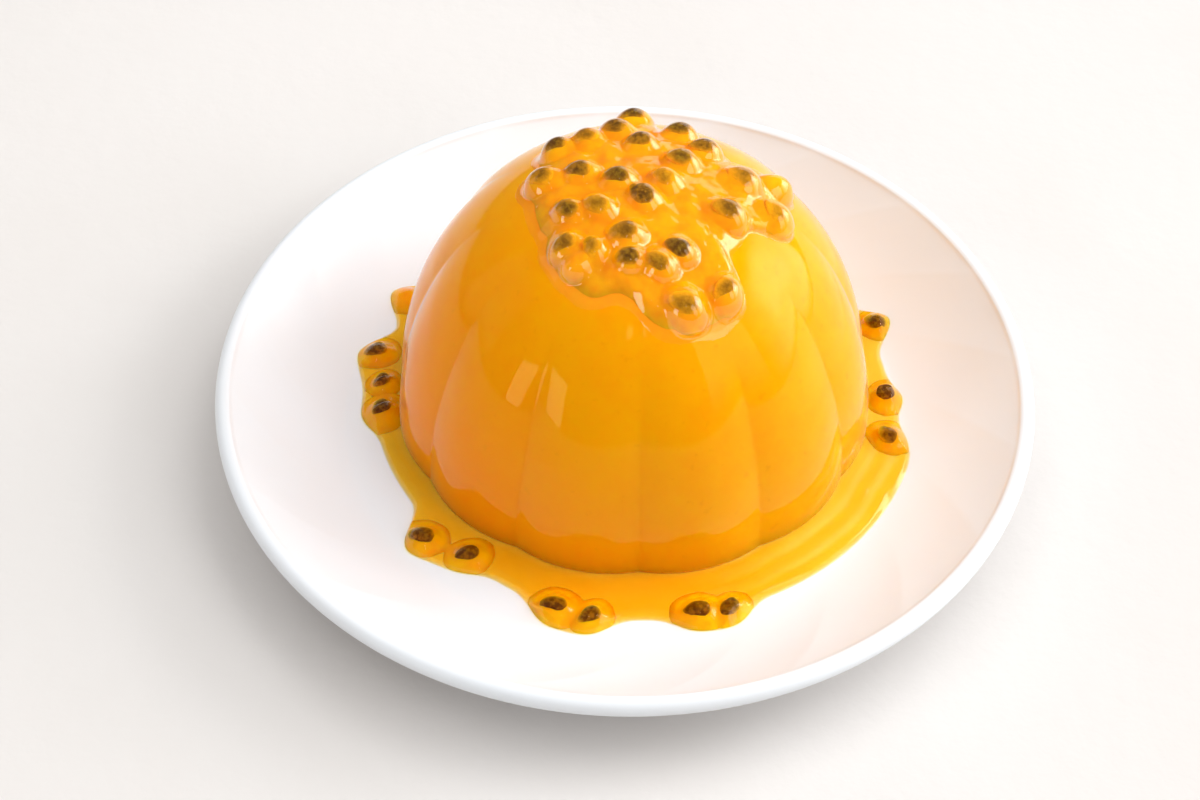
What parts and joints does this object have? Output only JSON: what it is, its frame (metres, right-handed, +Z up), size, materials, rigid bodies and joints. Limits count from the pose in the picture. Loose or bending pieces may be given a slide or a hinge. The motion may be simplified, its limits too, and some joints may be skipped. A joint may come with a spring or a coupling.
{
  "type": "moulded jelly",
  "caption": "Lobed dome of set orange jelly, topped and ringed with seedy fruit pulp, on the small round white plate it is served on.",
  "frame": {"origin": "middle of the plate's foot ring, on the surface that the plate stands on", "axes": "+Z up, -Y towards the front, +X to the right as seen from the front"},
  "size_m": [0.18, 0.18, 0.0727],
  "materials": {
    "china": "white glazed porcelain, glossy",
    "jelly": "cloudy orange-yellow fruit jelly, wet and glossy",
    "pulp": "clear amber fruit gel with dark olive-brown seeds in it, wet and glossy",
    "juice": "thick yellow-orange fruit juice and pulp, wet and glossy"
  },
  "bodies": {
    "root": {"plate": "china", "jelly": "jelly", "crown_pulp": "pulp", "base_pulp": "juice"}
  },
  "joints": []
}
